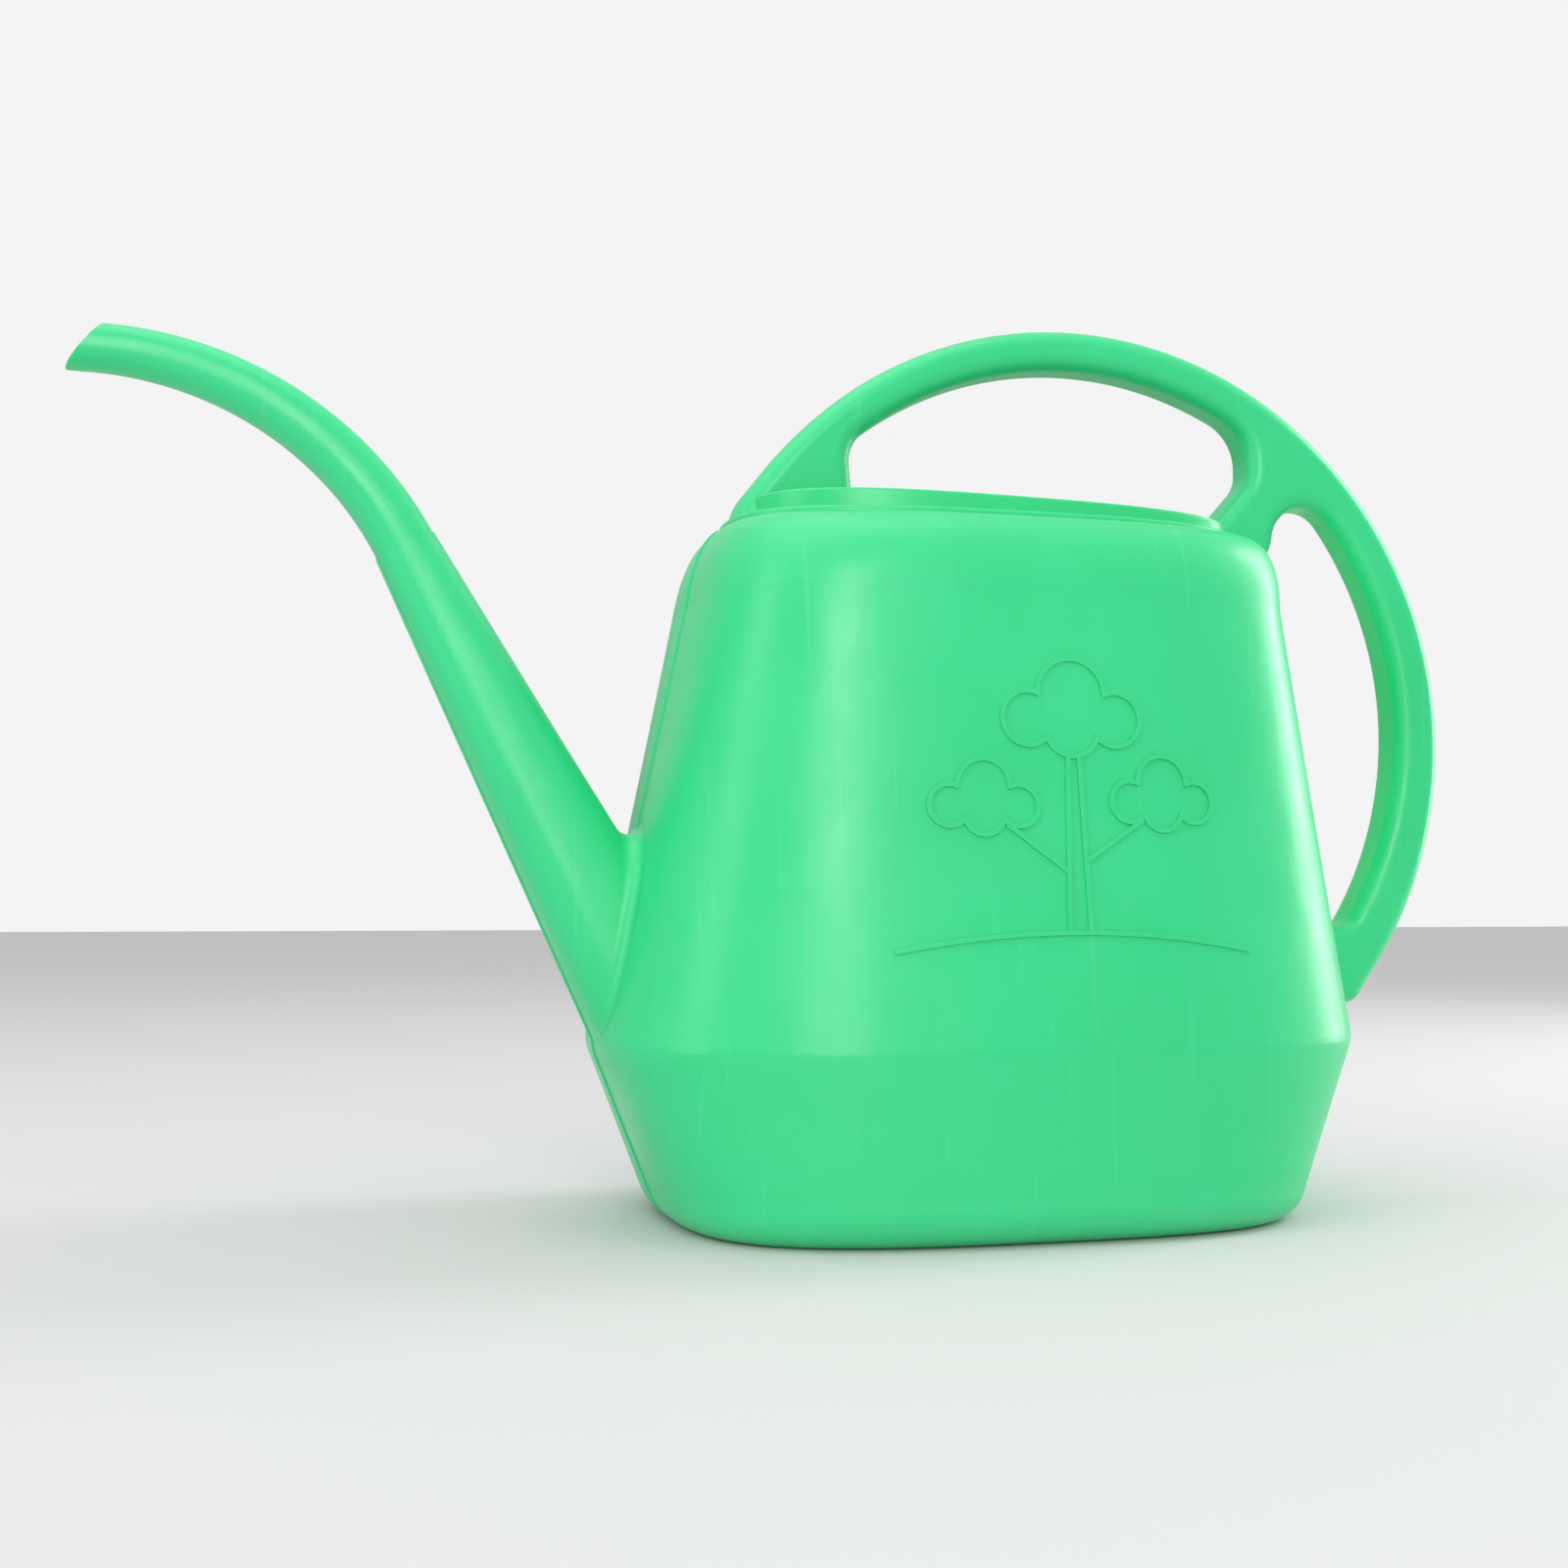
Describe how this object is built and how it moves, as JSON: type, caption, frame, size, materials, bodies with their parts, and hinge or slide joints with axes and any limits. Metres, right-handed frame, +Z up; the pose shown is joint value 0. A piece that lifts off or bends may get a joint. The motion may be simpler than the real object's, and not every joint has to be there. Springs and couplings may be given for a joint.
{
  "type": "watering can",
  "caption": "Moulded plastic garden watering can with a waisted oval body, long gooseneck spout, oval fill collar and a looped carrying handle.",
  "frame": {"origin": "middle of the flat face that the can stands on", "axes": "+Z up, -X towards the spout's mouth, +X towards the rear grip, Y = 0 is the mould's parting plane"},
  "size_m": [0.4137, 0.1422, 0.2646],
  "materials": {
    "green_polyethylene": "semi_gloss"
  },
  "bodies": {
    "root": {"base_floor": "green_polyethylene", "lower_wall": "green_polyethylene", "upper_wall": "green_polyethylene", "shoulder": "green_polyethylene", "collar_step": "green_polyethylene", "fill_deck": "green_polyethylene", "fill_lip": "green_polyethylene", "spout_root": "green_polyethylene", "spout_tube": "green_polyethylene", "spout_gooseneck": "green_polyethylene", "spout_tip": "green_polyethylene", "front_web": "green_polyethylene", "top_grip": "green_polyethylene", "handle_junction": "green_polyethylene", "handle_strut": "green_polyethylene", "rear_grip": "green_polyethylene", "rear_foot": "green_polyethylene", "raised_tree": "green_polyethylene", "parting_seam": "green_polyethylene"}
  },
  "joints": []
}
